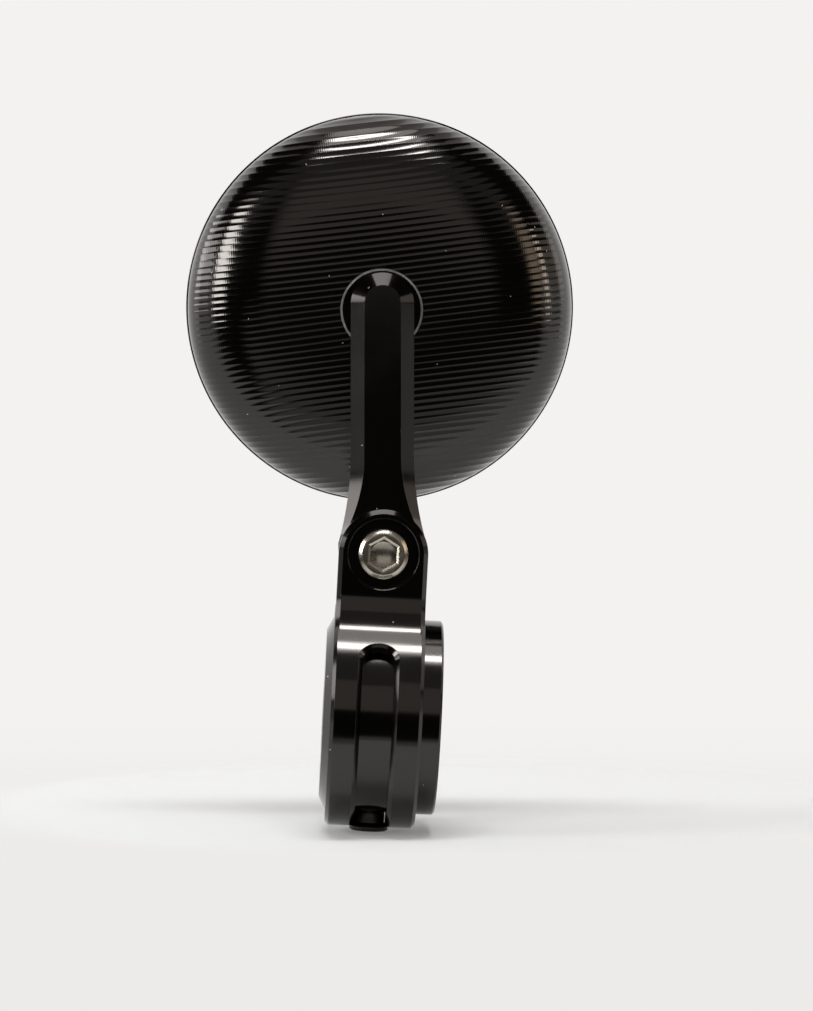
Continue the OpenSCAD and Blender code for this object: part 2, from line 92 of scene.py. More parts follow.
class FinishSettings(bpy.types.PropertyGroup):
    """Colours and grain of the finishes"""
    anodised: colour("Black anodising", "Reflection colour of the dyed oxide on aluminium", "#444240")
    stainless: colour("Stainless steel", "Reflection colour of stainless steel", "#c9c2b4")
    oxide: colour("Black oxide", "Reflection colour of black oxide on steel", "#3a3735")
    zinc: colour("Zinc plate", "Reflection colour of clear zinc on steel", "#b9bcc0")
    bronze: colour("Bronze", "Reflection colour of sintered bronze", "#b08a4e")
    nylon: colour("Nylon", "Colour of natural nylon", "#dcd8cc")
    bare: colour("Bare aluminium", "Reflection colour where a cut shows the metal", "#c6c8ca")
    dust: colour("Dust", "Colour of dust and lint", "#a9a69f")
    foam: colour("Foam tape", "Colour of the adhesive foam", "#26272a")
    silver: colour("Silvering", "Reflection colour of the mirror's silvering", "#dfe3e4")
    anodised_roughness: share("Anodising roughness", "Roughness of the etched and dyed oxide", 0.12)
    grain: length("Etch grain", "Size of the etched grain in the oxide", 0.12, 0.02, 1)
    dust_spacing: length("Dust spacing", "Mean distance from one speck of dust to the next", 17, 2, 100)
    dust_size: length("Dust size", "Radius of a speck of dust", 0.13, 0.02, 1)
    edge: length("Broken edge", "Radius at which machined edges are broken", 0.1, 0, 1)


class HeadSettings(bpy.types.PropertyGroup):
    """Sizes of the milled head"""
    radius: length("Rim radius", "Outer radius of the head at its rim band", 41.2)
    mill_radius: length("Milled radius", "Radius at which the milled rows end", 40.9)
    dome: length("Dome height", "Depth of the domed back above the rim band", 17.5)
    shoulder: share("Shoulder", "Exponent of the dome's section, 2 for an ellipse", 3.5, 8.0)
    wall: length("Wall", "Thickness of the housing's wall", 2.6)
    row_pitch: length("Row pitch", "Step of the cutter from row to row", 1.3, 0.3, 5)
    cutter: length("Cutter radius", "Radius of the ball-nosed cutter that left the rows", 3.8, 1, 20)
    feed: length("Feed", "Spacing of the feed marks along a row", 0.45, 0.1, 3)
    row_steps: IntProperty(name="Steps per row", description="Mesh steps across one row",
                           default=8, min=2, max=12)
    columns: IntProperty(name="Columns", description="Mesh steps along a row", default=140,
                         min=12, max=200)
    recess: length("Recess radius", "Radius of the recess round the ball stud", 8.1)
    recess_edge: length("Recess chamfer", "Width of the chamfer at the recess's mouth", 0.42)
    recess_cut: length("Recess chamfer depth", "Depth of that chamfer, cut after anodising", 0.22)


class ArmSettings(bpy.types.PropertyGroup):
    """Sizes of the arm"""
    width: length("Width", "Width of the arm's straight part", 13)
    thickness: length("Thickness", "Thickness of the arm", 6.8)
    flat: length("Front flat", "Width of the front face between the chamfers", 7.45)
    eye: length("Eye radius", "Outer radius of the arm's eye at the pivot", 9)
    eye_edge: length("Eye chamfer", "Chamfer left beside the pivot", 0.8)
    flare_from: length("Flare start", "Height above the pivot where the sides start to flare", 20)
    flare_to: length("Flare end", "Height above the pivot where the sides reach full width", 2.1)


class BracketSettings(bpy.types.PropertyGroup):
    """Sizes of the clamp bracket and the insert"""
    ring_radius: length("Ring radius", "Outer radius of the clamp ring", 22.75)
    ring_width: length("Ring width", "Width of the clamp ring along the bar", 18.2)
    ring_edge: length("Ring chamfer", "Chamfer on the ring's edges", 0.7)
    bore: length("Ring bore", "Radius of the ring's bore", 19.85)
    neck_width: length("Neck width", "Width of the neck", 18)
    neck_edge: length("Neck chamfer", "Chamfer on the neck's front edges", 0.9)
    neck_fillet: length("Neck fillet", "Fillet between the neck and the ring", 11)
    counterbore: length("Counterbore", "Radius of the counterbore round the screw's head", 7.05)
    slot_width: length("Slot width", "Width of the slot between its walls", 6.4)
    slot_edge: length("Slot chamfer", "Chamfer along the slot", 0.9)
    slot_start: share("Slot start", "Height angle of the slot's front end, in degrees", 33, 90)
    slot_arc: share("Slot arc", "Arc of the slot, in degrees", 178, 300)
    insert_radius: length("Insert radius", "Radius of the insert in the ring", 19.8)
    insert_nose: length("Insert nose", "Radius at the small end of the insert's cone", 17)
    insert_cone: length("Insert cone", "Length of the insert's cone", 1.4)
    insert_reach: length("Insert reach", "How far the insert stands out on the inner side", 3.9)
    bolt_bore: length("Bolt bore", "Radius of the bore for the handlebar bolt", 4.2)
    bolt_head: length("Bolt head bore", "Radius of the counterbore for the bolt's head", 7.3)
    bolt_depth: length("Bolt head depth", "Depth of that counterbore", 9)


class StudioSettings(bpy.types.PropertyGroup):
    """Camera, floor and lamps"""
    lens: length("Lens", "Focal length of the camera", 106.8)
    distance: length("Distance", "Distance of the pivot from the camera", 600, 100, 3000)
    yaw: share("Yaw", "Turn of the camera towards the bar's outer end, in degrees", 1.7, 90)
    roll: share("Roll", "Lean of the clamp in the picture, in degrees", 2.94, 90)
    aside: length("Aside", "How far the camera stands to the right of the screw", 4.54)
    above: length("Above", "How far the camera stands above the screw", 9.8)
    paper: colour("Paper", "Colour of far floor and backdrop, as the camera sees it", "#f3f2f0")
    # Painted shade: the near floor's glow is a shade darker than the far paper, though it is the same
    # paper
    near_paper_shade: colour("Near paper", "Colour of the near floor, as the camera sees it", "#ecebe9")
    floor: colour("Floor", "Colour of the paper that the lamps light, round the mirror", "#dddede")
    room: colour("Room", "Colour of the dark room round the set", "#2b2927")
    floor_near: length("Floor's near end", "How far the floor reaches towards the camera", 60)
    # Over this distance behind the mirror, the painted shade of the near paper fades into the plain
    # paper colour
    paper_fade: length("Paper fade", "Distance behind the mirror where the near tone ends", 350)
    shade: share("Shade", "How much of the floor's shadow shows beside the mirror", 0.8)
    shade_reach: length("Shade reach", "Radius round the mirror within which the shadow shows", 120)
    softbox: share("Softbox", "Radiance of the large overhead softbox", 5.0, 100)


# Mesh helpers


def mesh_object(name, points, faces):
    """A linked object from points and faces."""
    mesh = bpy.data.meshes.new(name)
    mesh.from_pydata([tuple(p) for p in points], [], [tuple(f) for f in faces])
    mesh.validate()
    obj = bpy.data.objects.new(name, mesh)
    bpy.context.scene.collection.objects.link(obj)
    return obj


def turned(name, profile, segments, axis="Y"):
    """A closed solid of revolution about Y or X, from a closed profile of radius and depth."""
    points, faces, rings = [], [], []
    for radius, depth in profile:
        if radius < 1e-9:
            rings.append([len(points)])
            points.append((0, depth, 0))
            continue
        rings.append(list(range(len(points), len(points) + segments)))
        for i in range(segments):
            angle = 2 * math.pi * i / segments
            points.append((radius * math.cos(angle), depth, radius * math.sin(angle)))
    for a, b in zip(rings, rings[1:] + rings[:1]):
        for i in range(segments):
            j = (i + 1) % segments
            if len(a) > 1 and len(b) > 1:
                faces.append((a[i], a[j], b[j], b[i]))
            elif len(a) > 1:
                faces.append((a[i], a[j], b[0]))
            elif len(b) > 1:
                faces.append((a[0], b[j], b[i]))
    obj = mesh_object(name, points, faces)
    if axis == "X":
        obj.data.transform(Matrix.Rotation(math.radians(-90), 4, "Z"))
    face_outwards(obj)
    return obj


def face_outwards(obj):
    """Turns a closed mesh's faces outwards, by the sign of its volume."""
    mesh = obj.data
    mesh.calc_loop_triangles()
    co = np.array([v.co for v in mesh.vertices])
    tri = np.array([t.vertices for t in mesh.loop_triangles])
    a, b, c = co[tri[:, 0]], co[tri[:, 1]], co[tri[:, 2]]
    if np.einsum("ij,ij->i", a, np.cross(b, c)).sum() < 0:
        mesh.flip_normals()


def loft(name, loops):
    """A closed solid through loops of equally many points, capped at both ends."""
    n, last = len(loops[0]), (len(loops) - 1) * len(loops[0])
    faces = [tuple(range(n - 1, -1, -1)), tuple(range(last, last + n))]
    faces += [(k + i, k + (i + 1) % n, k + n + (i + 1) % n, k + n + i)
              for k in range(0, last, n) for i in range(n)]
    obj = mesh_object(name, [p for loop in loops for p in loop], faces)
    face_outwards(obj)
    return obj


def prism(name, outline, low, high):
    """A prism along Y over an outline of X and Z."""
    return loft(name, [[(x, y, z) for x, z in outline] for y in (low, high)])


def rod(name, radius, low, high):
    """A round rod along Y."""
    return turned(name, [(0, low), (radius, low), (radius, high), (0, high)], 96)


def hexagon(flats):
    """A hexagon with two corners upright, as points of X and Z."""
    radius = flats / math.sqrt(3)
    return [(radius * math.sin(math.radians(60 * i)), radius * math.cos(math.radians(60 * i)))
            for i in range(6)]


def combine(obj, other, operation):
    """Adds or cuts another solid, which is used up."""
    modifier = obj.modifiers.new(operation, "BOOLEAN")
    modifier.operation = operation
    modifier.object = other
    modifier.solver = "MANIFOLD"
    bpy.context.view_layer.update()
    made = bpy.data.meshes.new_from_object(obj.evaluated_get(bpy.context.evaluated_depsgraph_get()))
    if len(made.polygons) in (0, len(obj.data.polygons)):
        raise RuntimeError(f"{other.name} left {obj.name} as it was, or empty")
    obj.modifiers.clear()
    obj.data = made
    bpy.data.objects.remove(other)


def finish_piece(obj, body, material, nodes, frame_matrix=None, sharp=25):
    """Places a piece, shades it smooth up to an angle and ties it to the packed model."""
    if frame_matrix is not None:
        obj.data.transform(frame_matrix)
    obj.data.shade_smooth()
    obj.data.set_sharp_from_angle(angle=math.radians(sharp))
    obj.data.materials.clear()
    obj.data.materials.append(material)
    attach(obj, body)
    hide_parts(*nodes)


def coat_node(name, material):
    """Gives a packed node that stays in view its finish."""
    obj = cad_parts[name]
    obj.data.materials.clear()
    obj.data.materials.append(material)


# Finishes

ETCH_DEPTH = 0.6e-6
FEED_DEPTH = 2.0e-6
BARE_ROUGHNESS = 0.5


def add_node(tree, kind, inputs=None, **attributes):
    """Adds a node; an input is given a value or linked to another node's output."""
    node = tree.nodes.new(kind)
    for key, value in attributes.items():
        setattr(node, key, value)
    for key, value in (inputs or {}).items():
        if isinstance(value, bpy.types.NodeSocket):
            tree.links.new(value, node.inputs[key])
        else:
            node.inputs[key].default_value = value
    return node


def material_for(name, build):
    """The named material, made by build(tree, shader) the first time it is asked for."""
    found = bpy.data.materials.get(name)
    if found:
        return found
    made = bpy.data.materials.new(name)
    made.use_nodes = True
    build(made.node_tree, made.node_tree.nodes["Principled BSDF"])
    return made


def noise(tree, size, detail=2.0, roughness=0.5, vector=None):
    """Noise whose main blobs are about the given size in metres."""
    coordinates = vector or add_node(tree, "ShaderNodeTexCoord").outputs["Object"]
    return add_node(tree, "ShaderNodeTexNoise", {
        "Vector": coordinates, "Scale": 1 / size, "Detail": detail,
        "Roughness": roughness}).outputs["Fac"]


def ranged(tree, value, low, high):
    """Spreads the middle of a noise over a range."""
    return add_node(tree, "ShaderNodeMapRange", {
        "Value": value, "From Min": 0.3, "From Max": 0.7, "To Min": low,
        "To Max": high}).outputs["Result"]


def rounded_bump(tree, shader, heights, edge):
    """Links bumps, each a height and its depth in metres, on top of broken edges."""
    normal = add_node(tree, "ShaderNodeBevel", {"Radius": edge}, samples=4).outputs["Normal"]
    for height, depth in heights:
        normal = add_node(tree, "ShaderNodeBump", {
            "Height": height, "Distance": depth, "Strength": 1.0,
            "Normal": normal}).outputs["Normal"]
    tree.links.new(normal, shader.inputs["Normal"])


def dusted(tree, shader, base, roughness, place):
    """Sets colour and gloss, with sparse pale specks of dust over the metal."""
    look = bpy.context.scene.mirror_finishes
    flat = add_node(tree, "ShaderNodeSeparateXYZ", {"Vector": place}).outputs
    flat = add_node(tree, "ShaderNodeCombineXYZ", {"X": flat["X"], "Y": flat["Z"]}).outputs[0]
    near = add_node(tree, "ShaderNodeTexVoronoi", {"Vector": flat, "Scale": 1 / look.dust_spacing},
                    voronoi_dimensions="2D").outputs["Distance"]
    speck = add_node(tree, "ShaderNodeMath", {0: near, 1: look.dust_size / look.dust_spacing},
                     operation="LESS_THAN").outputs[0]
    shade = add_node(tree, "ShaderNodeMix", {"Factor": speck, 6: base, 7: look.dust},
                     data_type="RGBA")
    tree.links.new(shade.outputs[2], shader.inputs["Base Color"])
    metal = add_node(tree, "ShaderNodeMath", {0: 1.0, 1: speck}, operation="SUBTRACT").outputs[0]
    tree.links.new(metal, shader.inputs["Metallic"])
    dull = add_node(tree, "ShaderNodeMath", {0: roughness, 1: speck}, operation="MAXIMUM").outputs[0]
    tree.links.new(dull, shader.inputs["Roughness"])


def oxide_gloss(tree, look):
    """Roughness of the oxide, which changes slowly over the piece."""
    return ranged(tree, noise(tree, 9 * MM, 3), look.anodised_roughness * 0.85,
                  look.anodised_roughness * 1.2)


def anodised_aluminium():
    """Black anodised aluminium, etched before dyeing: a satin gloss with a fine grain."""
    look = bpy.context.scene.mirror_finishes

    def build(tree, shader):
        place = add_node(tree, "ShaderNodeTexCoord").outputs["Object"]
        dusted(tree, shader, look.anodised, oxide_gloss(tree, look), place)
        rounded_bump(tree, shader, [(noise(tree, look.grain), ETCH_DEPTH)], look.edge)
    return material_for("anodised_aluminium_satin_black", build)


def milled_aluminium():
    """The same oxide over raster-milled aluminium: fine feed marks cross every row.

    The recess's chamfer was cut after anodising and shows the bare metal."""
    look = bpy.context.scene.mirror_finishes
    head = bpy.context.scene.mirror_head

    def build(tree, shader):
        place = add_node(tree, "ShaderNodeTexCoord").outputs["Object"]
        local = add_node(tree, "ShaderNodeMapping", {
            "Vector": place, "Location": HEAD.translation, "Rotation": HEAD.to_euler()},
            vector_type="TEXTURE").outputs["Vector"]
        axes = add_node(tree, "ShaderNodeSeparateXYZ", {"Vector": local}).outputs
        row = add_node(tree, "ShaderNodeMath", {0: axes["Z"], 1: head.row_pitch},
                       operation="DIVIDE").outputs[0]
        row = add_node(tree, "ShaderNodeMath", {0: row}, operation="FLOOR").outputs[0]
        chance = add_node(tree, "ShaderNodeTexWhiteNoise", {"W": row},
                          noise_dimensions="1D").outputs["Value"]
        turns = add_node(tree, "ShaderNodeMath", {0: axes["X"], 1: head.feed},
                         operation="DIVIDE").outputs[0]
        turns = add_node(tree, "ShaderNodeMath", {0: turns, 1: chance}, operation="ADD").outputs[0]
        phase = add_node(tree, "ShaderNodeMath", {0: turns, 1: 2 * math.pi},
                         operation="MULTIPLY").outputs[0]
        marks = add_node(tree, "ShaderNodeMath", {0: phase}, operation="SINE").outputs[0]
        level = add_node(tree, "ShaderNodeVectorMath", {0: local, 1: (1, 0, 1)},
                         operation="MULTIPLY").outputs[0]
        radius = add_node(tree, "ShaderNodeVectorMath", {0: level}, operation="LENGTH").outputs["Value"]
        cut = add_node(tree, "ShaderNodeMath", {
            0: radius, 1: head.recess + head.recess_edge * 0.55, 2: head.recess_edge * 0.5},
            operation="COMPARE").outputs[0]
        base = add_node(tree, "ShaderNodeMix", {"Factor": cut, 6: look.anodised, 7: look.bare},
                        data_type="RGBA").outputs[2]
        gloss = add_node(tree, "ShaderNodeMix", {
            "Factor": cut, "A": oxide_gloss(tree, look), "B": BARE_ROUGHNESS}).outputs[0]
        dusted(tree, shader, base, gloss, local)
        grain = noise(tree, look.grain)
        rounded_bump(tree, shader, [(marks, FEED_DEPTH), (grain, ETCH_DEPTH)], look.edge / 2)
    return material_for("anodised_aluminium_milled_black", build)


def plain_metal(name, base, roughness, grain, depth):
    """A bare metal whose grain has a size and a depth, with slow changes of gloss."""
    look = bpy.context.scene.mirror_finishes

    def build(tree, shader):
        shader.inputs["Base Color"].default_value = base
        shader.inputs["Metallic"].default_value = 1.0
        cloud = noise(tree, 3 * MM, 3)
        tree.links.new(ranged(tree, cloud, roughness * 0.8, roughness * 1.25),
                       shader.inputs["Roughness"])
        rounded_bump(tree, shader, [(noise(tree, grain, 3), depth)], look.edge)
    return material_for(name, build)


def stainless_steel():
    """Cold-headed stainless steel, tumbled bright."""
    look = bpy.context.scene.mirror_finishes
    return plain_metal("stainless_steel_tumbled", look.stainless, 0.25, 0.15 * MM, 1.5e-6)


def black_oxide():
    """Black oxide on alloy steel: an oiled, brownish black with a low shine."""
    look = bpy.context.scene.mirror_finishes
    return plain_metal("steel_black_oxide", look.oxide, 0.36, 0.2 * MM, 2e-6)


def zinc_plate():
    """Clear zinc on steel: a greyer, softer shine than stainless steel."""
    look = bpy.context.scene.mirror_finishes
    return plain_metal("zinc_plated_steel", look.zinc, 0.34, 0.2 * MM, 2e-6)


def sintered_bronze():
    """Oil-filled sintered bronze: dull, with open pores."""
    look = bpy.context.scene.mirror_finishes
    return plain_metal("sintered_bronze", look.bronze, 0.5, 0.1 * MM, 6e-6)


def moulded_nylon():
    """Moulded natural nylon: milky and softly glossy."""
    look = bpy.context.scene.mirror_finishes

    def build(tree, shader):
        shader.inputs["Base Color"].default_value = look.nylon
        shader.inputs["IOR"].default_value = 1.53
        shader.inputs["Subsurface Weight"].default_value = 0.2
        shader.inputs["Subsurface Scale"].default_value = 1 * MM
        tree.links.new(ranged(tree, noise(tree, 2 * MM), 0.38, 0.5), shader.inputs["Roughness"])
        rounded_bump(tree, shader, [(noise(tree, 0.3 * MM), 2e-6)], look.edge)
    return material_for("nylon_moulded_natural", build)


def foam_tape():
    """Closed-cell foam tape: matt, with its cut cells as fine pits."""
    look = bpy.context.scene.mirror_finishes

    def build(tree, shader):
        cells = noise(tree, 0.35 * MM, 1)
        shade = add_node(tree, "ShaderNodeMix", {
            "Factor": cells, 6: look.foam, 7: [c * 1.8 for c in look.foam[:3]] + [1]},
            data_type="RGBA")
        tree.links.new(shade.outputs[2], shader.inputs["Base Color"])
        shader.inputs["Roughness"].default_value = 0.85
        rounded_bump(tree, shader, [(cells, 40e-6)], look.edge)
    return material_for("foam_tape_closed_cell", build)


def silvered_glass():
    """Float glass silvered behind: a clear reflection under a hard, glossy skin."""
    look = bpy.context.scene.mirror_finishes

    def build(tree, shader):
        shader.inputs["Base Color"].default_value = look.silver
        shader.inputs["Metallic"].default_value = 1.0
        shader.inputs["Coat Weight"].default_value = 1.0
        shader.inputs["Coat IOR"].default_value = 1.52
        shader.inputs["Coat Roughness"].default_value = 0.01
        tree.links.new(ranged(tree, noise(tree, 12 * MM), 0.015, 0.03), shader.inputs["Roughness"])
        rounded_bump(tree, shader, [(noise(tree, 20 * MM, 1), 1e-6)], look.edge)
    return material_for("float_glass_silvered", build)


# Pieces


def dome_height(head, r, radius, height):
    """Height of a dome of the head's section at a radius."""
    return height * np.sqrt(np.clip(1 - np.minimum(r / radius, 1) ** head.shoulder, 0, 1))


def dome_slope(head, r):
    """How fast the milled back falls away at a radius."""
    u = np.clip(r / head.mill_radius, 0, 0.9995)
    bulge = np.sqrt(1 - u ** head.shoulder)
    return head.dome * head.shoulder * u ** (head.shoulder - 1) / (2 * head.mill_radius * bulge)


def milled_block(head, apex, base):
    """The solid under the milled back: rows along X, each the trough of a ball-nosed cutter."""
    edge_inset, fade_width, deepest = 0.05 * MM, 0.8 * MM, 0.45 * MM
    limit = head.mill_radius - edge_inset
    steps = int(2 * limit / head.row_pitch * head.row_steps)
    z = np.linspace(-limit, limit, steps + 1)
    turn = np.linspace(-math.pi / 2, math.pi / 2, head.columns + 1)
    x = np.sqrt(head.mill_radius ** 2 - z[:, None] ** 2) * np.sin(turn)[None, :]
    z = np.repeat(z[:, None], head.columns + 1, axis=1)
    r = np.maximum(np.hypot(x, z), 1e-6)
    slope = dome_slope(head, r)
    steep = np.sqrt(1 + (slope * z / r) ** 2)
    off = np.abs((z / head.row_pitch) % 1 - 0.5) * head.row_pitch
    fade = np.clip((head.mill_radius - r) / fade_width, 0, 1)
    cusp = np.minimum((head.row_pitch / 2) ** 2 * steep / (2 * head.cutter), deepest)
    trough = cusp * (1 - (2 * off / head.row_pitch) ** 2) * fade
    stretch = np.sqrt(1 + slope ** 2)
    px = x - trough * slope * x / r / stretch
    pz = z - trough * slope * z / r / stretch
    py = apex + head.dome - dome_height(head, r, head.mill_radius, head.dome) + trough / stretch
    rows, cols = x.shape
    grid = np.arange(rows * cols).reshape(rows, cols)
    faces = np.stack([grid[:-1, :-1], grid[:-1, 1:], grid[1:, 1:], grid[1:, :-1]], -1)
    edge = np.concatenate([grid[0, :-1], grid[:-1, -1], grid[-1, :0:-1], grid[:0:-1, 0]])
    points = np.stack([px, py, pz], -1).reshape(-1, 3)
    foot = points[edge] * [1, 0, 1] + [0, base, 0]
    first = len(points)
    n = len(edge)
    skirt = [(edge[(i + 1) % n], edge[i], first + i, first + (i + 1) % n) for i in range(n)]
    obj = mesh_object("milled_block", np.concatenate([points, foot]),
                      faces.reshape(-1, 4).tolist() + skirt
                      + [tuple(range(first + n - 1, first - 1, -1))])
    face_outwards(obj)
    return obj


class HousingOperator(bpy.types.Operator):
    """Build the milled housing with its rim band, recess and glass seat"""
    bl_idname = "bar_mirror.housing"
    bl_label = "Milled housing"

    def execute(self, context):
        head = context.scene.mirror_head
        apex, recess_floor, rim_height = -8.5 * MM, -5.6 * MM, 3.9 * MM
        rim_front = apex + head.dome
        rim_back = rim_front + rim_height
        socket, mouth, neck = 5.95 * MM, 4.2 * MM, 4.7 * MM
        cup, hub, pocket, glass = 8.05 * MM, 13.2 * MM, 35.7 * MM, 38.1 * MM
        plate_seat, pad_seat = 8.05 * MM, 9.95 * MM
        overlap, lap, bevel, reach = 0.8 * MM, 0.15 * MM, 0.4 * MM, MM
        housing = milled_block(head, apex, rim_front + overlap)
        band = turned("band", [
            (0, rim_front - lap), (head.radius - lap, rim_front - lap), (head.radius, rim_front),
            (head.radius, rim_back - bevel), (head.radius - bevel, rim_back), (0, rim_back)], 320)
        combine(housing, band, "UNION")
        spread = reach * head.recess_edge / head.recess_cut
        profile = [(0, apex - reach), (head.recess + head.recess_edge + spread, apex - reach),
                   (head.recess, apex + head.recess_cut), (head.recess, recess_floor),
                   (neck, recess_floor)]
        start = math.atan2(-math.sqrt(socket ** 2 - mouth ** 2), mouth)
        profile += [(socket * math.cos(start * (1 - i / 8)), socket * math.sin(start * (1 - i / 8)))
                    for i in range(9)]
        profile += [(cup, 0), (cup, plate_seat), (hub, plate_seat)]
        for i in range(25):
            r = hub + (pocket - hub) * i / 24
            inner = dome_height(head, r, head.mill_radius - head.wall, head.dome - head.wall)
            profile.append((r, rim_front - float(inner)))
        profile += [(pocket, pad_seat), (glass, pad_seat), (glass, rim_back + reach),
                    (0, rim_back + reach)]
        combine(housing, turned("cutter", profile, 256), "DIFFERENCE")
        housing.name = "milled_housing"
        finish_piece(housing, "head", milled_aluminium(), ["housing"], HEAD,
                     sharp=9)
        return {"FINISHED"}


class GlassOperator(bpy.types.Operator):
    """Build the convex mirror glass and finish the pad behind it"""
    bl_idname = "bar_mirror.glass"
    bl_label = "Mirror glass"

    def execute(self, context):
        radius, front, thick, curve = 38 * MM, 10.75 * MM, 2 * MM, 1.0
        bevel = 0.3 * MM
        profile = [(0, front), (radius - bevel, front), (radius, front + bevel)]
        for i in range(25):
            r = radius * (1 - i / 24)
            drop = bevel if i == 0 else 0
            profile.append((r, front + thick - curve + math.sqrt(curve ** 2 - r ** 2) - drop))
        glass = turned("convex_glass", profile, 256)
        finish_piece(glass, "head", silvered_glass(), ["mirror_glass"], HEAD)
        coat_node("glass_pad", foam_tape())
        return {"FINISHED"}


class BallJointOperator(bpy.types.Operator):
    """Build the ball stud and finish the parts that hold it"""
    bl_idname = "bar_mirror.ball_joint"
    bl_label = "Ball joint"

    def execute(self, context):
        ball, neck, stud, root = 5 * MM, 2.6 * MM, 11.6 * MM, 16.6 * MM
        thread, flats, flange_height, sunk = 3 * MM, 8 * MM, 2.6 * MM, 0.5 * MM
        flange_back = -stud + flange_height
        start = math.asin(neck / ball)
        profile = [(0, -root), (thread, -root), (thread, flange_back - sunk),
                   (neck, flange_back - sunk), (neck, -ball * math.cos(start))]
        profile += [(ball * math.sin(start + (math.pi - start) * i / 32),
                     -ball * math.cos(start + (math.pi - start) * i / 32)) for i in range(1, 33)]
        profile[-1] = (0, ball)
        body = turned("stud", profile, 96)
        combine(body, prism("flange", hexagon(flats), -stud, flange_back), "UNION")
        body.name = "ball_stud_fine"
        finish_piece(body, "arm", stainless_steel(), ["ball_stud"], BALL)
        for name in ("retaining_plate", "ball_cup"):
            coat_node(name, zinc_plate())
        for name in ("plate_screw_1", "plate_screw_2", "plate_screw_3", "cup_spring"):
            coat_node(name, stainless_steel())
        coat_node("ball_liner", moulded_nylon())
        return {"FINISHED"}


def arm_outline(half, full, low, high, top):
    """One side of the arm from the eye's lowest point to the top's middle, then mirrored."""
    radius = ((high - low) ** 2 + (full - half) ** 2) / (2 * (full - half))
    side = [(full * math.cos(a), full * math.sin(a))
            for a in np.radians(np.linspace(-90, 0, 33))]
    side += [(half + radius - math.sqrt(radius ** 2 - (high - z) ** 2), z)
             for z in np.linspace(low, high, 33)]
    side += [(half * math.cos(a), top + half * math.sin(a))
             for a in np.radians(np.linspace(0, 90, 33))]
    return side + [(-x, z) for x, z in side[-2:0:-1]]


class ArmOperator(bpy.types.Operator):
    """Build the arm with its chamfers, flare and broken edges"""
    bl_idname = "bar_mirror.arm"
    bl_label = "Arm"

    # Knocks on two edges, in the arm's frame and in millimetres
    NICKS = ((-2.9, -1.0, 54.35), (3.9, -1.65, 25))
    NICK_RADIUS = 0.32 * MM

    def execute(self, context):
        arm = context.scene.mirror_arm
        washer = 0.5 * MM
        front = NECK_BACK + washer
        back = front + arm.thickness
        bush_bore, stud_bore, stud_depth, chamfer_lead = 4.07 * MM, 3.02 * MM, 5.2 * MM, 0.9 * MM
        outline = arm_outline(arm.width / 2, arm.eye, arm.flare_to, arm.flare_from, ARM_LENGTH)
        flat = arm_outline(arm.flat / 2, arm.eye - arm.eye_edge, arm.flare_to + chamfer_lead,
                           arm.flare_from, ARM_LENGTH)
        deepest = front + (arm.width - arm.flat) / 2
        loops = [[(x, back, z) for x, z in outline]]
        loops.append([(x, min(deepest, front + math.hypot(x - u, z - w)), z)
                      for (x, z), (u, w) in zip(outline, flat)])
        loops.append([(x, front, z) for x, z in flat])
        piece = loft("arm_fine", loops)
        combine(piece, rod("bore", bush_bore, front - MM, back + MM), "DIFFERENCE")
        hole = rod("hole", stud_bore, back - stud_depth, back + MM)
        hole.data.transform(Matrix.Translation((0, 0, ARM_LENGTH)))
        combine(piece, hole, "DIFFERENCE")
        for place in self.NICKS:
            nick = turned("nick", [
                (self.NICK_RADIUS * math.sin(a), -self.NICK_RADIUS * math.cos(a))
                for a in np.radians(np.linspace(0, 180, 9))], 12)
            nick.data.transform(Matrix.Translation(Vector(place) * MM))
            combine(piece, nick, "DIFFERENCE")
        finish_piece(piece, "arm", anodised_aluminium(), ["arm"], ARM,
                     sharp=14)
        coat_node("pivot_bush", sintered_bronze())
        return {"FINISHED"}


class PivotOperator(bpy.types.Operator):
    """Build the pivot screw and finish its washers, spring and nut"""
    bl_idname = "bar_mirror.pivot"
    bl_label = "Pivot"

    def execute(self, context):
        sunk, end = 0.3 * MM, 15 * MM
        front = NECK_FRONT + sunk
        crown, head, side, shank, bevel = 4.02 * MM, 5 * MM, 1.15 * MM, 3 * MM, 0.5 * MM
        corner = [(crown + r, front + y) for r, y in self.broken_edge(0.5 * MM, 0.85 * MM)]
        screw = turned("pivot_screw_fine", [(0, front)] + corner + [
            (head, front + side), (head, SCREW_SEAT), (shank, SCREW_SEAT), (shank, end - bevel),
            (shank - bevel, end), (0, end)], 160)
        keys, depth, drill, tip = 5.3 * MM, 3.2 * MM, 2.5 * MM, 1.2 * MM
        overlap, proud = 0.2 * MM, 0.07 * MM
        floor = front + depth
        combine(screw, prism("socket", hexagon(keys), front - MM, floor), "DIFFERENCE")
        combine(screw, turned("drill_point", [
            (0, floor - overlap), (drill, floor - overlap), (drill, floor), (0, floor + tip)], 96),
            "DIFFERENCE")
        lip_edge = self.broken_edge(0.15 * MM, 0.55 * MM)
        wide = keys + 2 * lip_edge[-1][0]
        sections = [(wide + MM, front - proud)]
        sections += [(wide - 2 * r, front + y) for r, y in lip_edge[1:]]
        lip = loft("mouth", [[(x, y, z) for x, z in hexagon(flats)] for flats, y in sections])
        combine(screw, lip, "DIFFERENCE")
        finish_piece(screw, "bracket", stainless_steel(), ["pivot_screw"],
                     Matrix.Translation(PIVOT))
        for name in ("front_friction_washer", "rear_friction_washer"):
            coat_node(name, moulded_nylon())
        for name in ("pivot_washer", "disc_spring"):
            coat_node(name, stainless_steel())
        coat_node("pivot_nut", zinc_plate())
        return {"FINISHED"}

    def broken_edge(self, rounding, slope):
        """Steps across and down of an edge that is rounded over and then falls at 36 degrees."""
        turns = [math.radians(a) for a in (0, 9, 18, 27, 36)]
        steps = [(rounding * math.sin(a), rounding * (1 - math.cos(a))) for a in turns]
        across, down = steps[-1]
        steps.append((across + slope * math.cos(turns[-1]), down + slope * math.sin(turns[-1])))
        return steps


